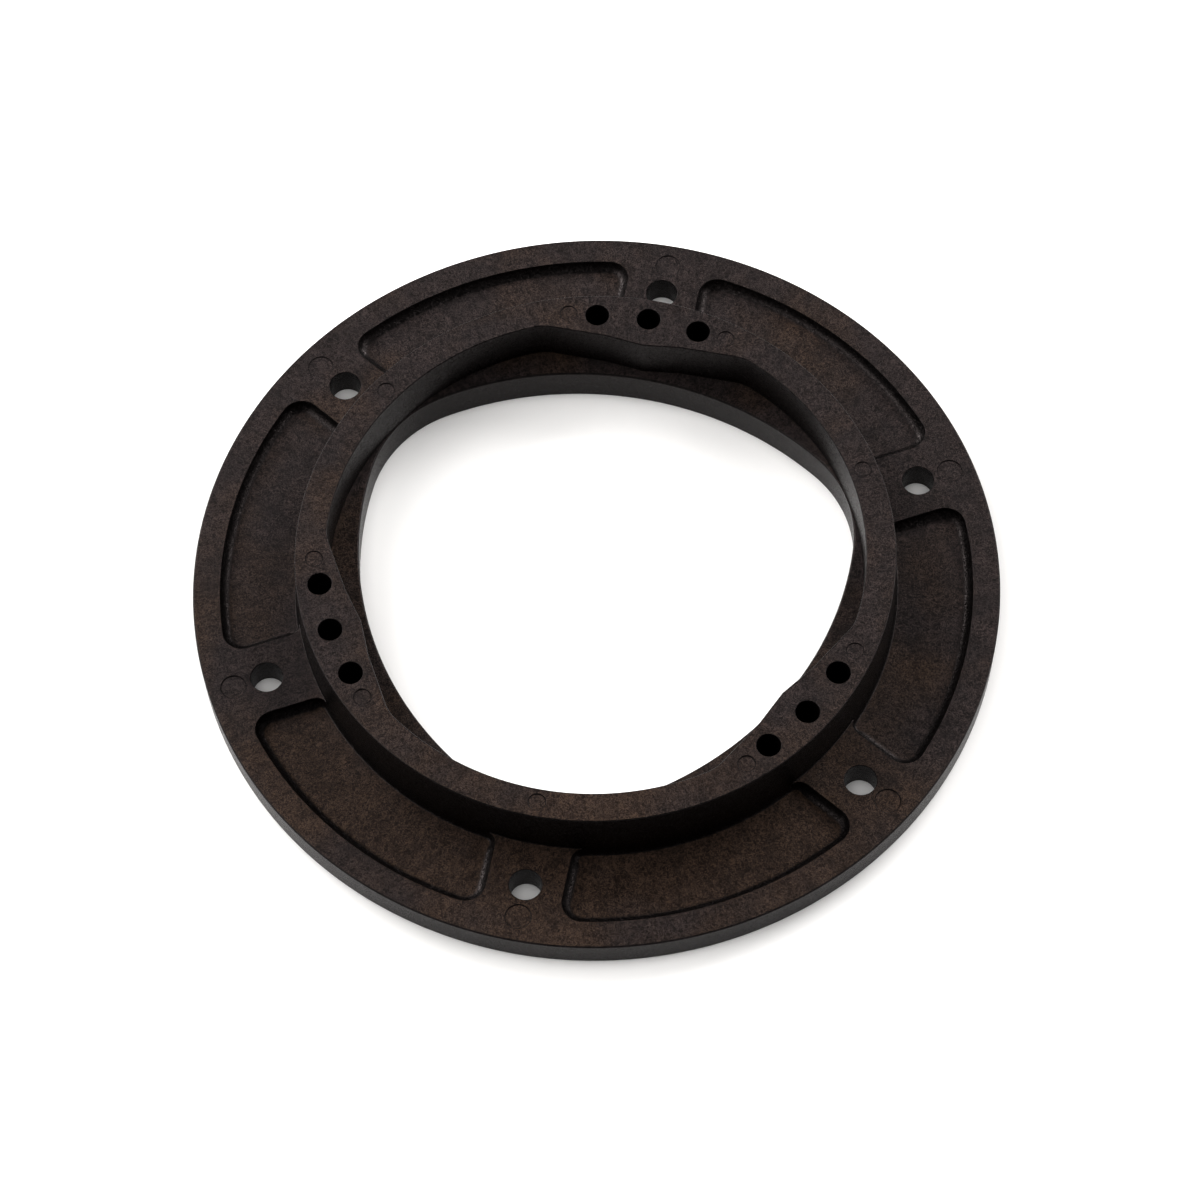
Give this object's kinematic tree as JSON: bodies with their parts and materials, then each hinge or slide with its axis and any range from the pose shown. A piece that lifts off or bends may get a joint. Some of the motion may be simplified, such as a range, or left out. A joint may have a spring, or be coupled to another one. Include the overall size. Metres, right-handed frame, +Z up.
{
  "type": "toilet flange",
  "caption": "Flat moulded ring with bolt holes and pockets in its disc, a raised collar with screw holes, and a stepped three-lobed bore.",
  "frame": {"origin": "centre of the bore at the underside of the disc, where the ring stands on the floor", "axes": "+Z up through the bore, out of the floor; +Y through the middle screw hole of one of the three groups in the collar"},
  "size_m": [0.179, 0.179, 0.0201],
  "materials": {
    "black_glass_filled_nylon": "black glass-fibre nylon, as moulded: satin, with fine pale fibre streaks and a faint brown cast on the upward faces"
  },
  "bodies": {
    "root": {"flange_body": "black_glass_filled_nylon"}
  },
  "joints": []
}
